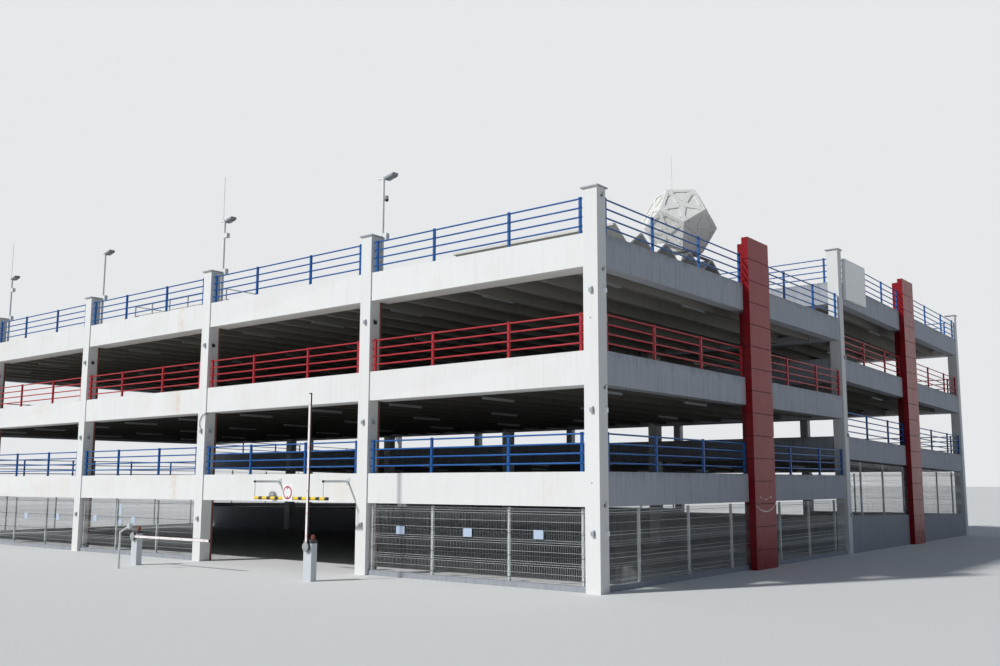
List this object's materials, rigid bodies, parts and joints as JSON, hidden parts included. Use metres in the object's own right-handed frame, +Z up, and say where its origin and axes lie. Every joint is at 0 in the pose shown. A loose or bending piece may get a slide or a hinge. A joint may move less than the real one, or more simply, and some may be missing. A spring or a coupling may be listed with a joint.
{
  "type": "multi storey car park",
  "caption": "Open split-level precast concrete car park with railings, red clad pylons, a meshed ground floor and boom barriers.",
  "frame": {"origin": "centre of the foot of the front right column, on the ground", "axes": "X along the front to the right, Y from the front to the back, Z up"},
  "size_m": [38.115, 34.385, 12.57],
  "materials": {
    "bar_yellow": "yellow with black bands",
    "blue_paint": "gloss paint",
    "board_white": "plain white coated sheet",
    "boom_white": "white with red bands",
    "cabinet_grey": "light grey paint",
    "cap_metal": "dull sheet metal",
    "concrete": "plain precast concrete",
    "diffuser": "milky diffuser",
    "galvanised": "galvanised",
    "lamp_grey": "grey paint",
    "pipe_brown": "dull brown paint",
    "red_cladding": "gloss coated panels",
    "red_paint": "gloss paint"
  },
  "bodies": {
    "building": {"front_columns": "concrete", "split_columns": "concrete", "back_columns": "concrete", "column_caps": "cap_metal", "front_spandrels": "concrete", "right_spandrels": "concrete", "left_spandrels": "concrete", "back_spandrels": "concrete", "split_kerbs": "concrete", "split_beams": "concrete", "deck_slabs": "concrete", "tee_ribs": "concrete", "rear_plinth": "concrete", "ground_curbs": "concrete", "front_pylon": "red_cladding", "rear_pylon": "red_cladding", "clad_columns": "red_cladding", "left_gable_columns": "concrete", "front_rails_first": "blue_paint", "front_rails_second": "red_paint", "front_rails_roof": "blue_paint", "right_rails_first": "blue_paint", "right_rails_second": "red_paint", "right_rails_roof": "blue_paint", "far_rails_first": "blue_paint", "far_rails_second": "red_paint", "far_rails_roof": "blue_paint", "front_fence": "galvanised", "right_fence": "galvanised", "far_fence": "galvanised", "lamp_masts": "galvanised", "mast_lamps": "lamp_grey", "mast_boxes": "cabinet_grey", "lightning_rods": "galvanised", "roof_guard": "galvanised", "folded_plate": "concrete", "plate_supports": "concrete", "dodecahedron": "concrete", "height_bar_arms": "galvanised", "height_bar": "bar_yellow", "round_sign": "board_white", "sign_board": "board_white", "wall_boxes": "lamp_grey", "ceiling_lights": "diffuser", "downpipes": "pipe_brown", "barrier_cabinets": "cabinet_grey", "reader_post": "galvanised"},
    "right_boom": {"right_boom": "boom_white"},
    "left_boom": {"left_boom": "boom_white"}
  },
  "joints": [
    {"name": "right_boom_hinge", "type": "hinge", "parent": "building", "child": "right_boom", "pos_m": [-7.22, -2.2475, 0.85], "axis": [0, -1, 0], "range_deg": [0, 90]},
    {"name": "left_boom_hinge", "type": "hinge", "parent": "building", "child": "left_boom", "pos_m": [-15.15, -2.2475, 0.85], "axis": [0, -1, 0], "range_deg": [0, 90]}
  ]
}
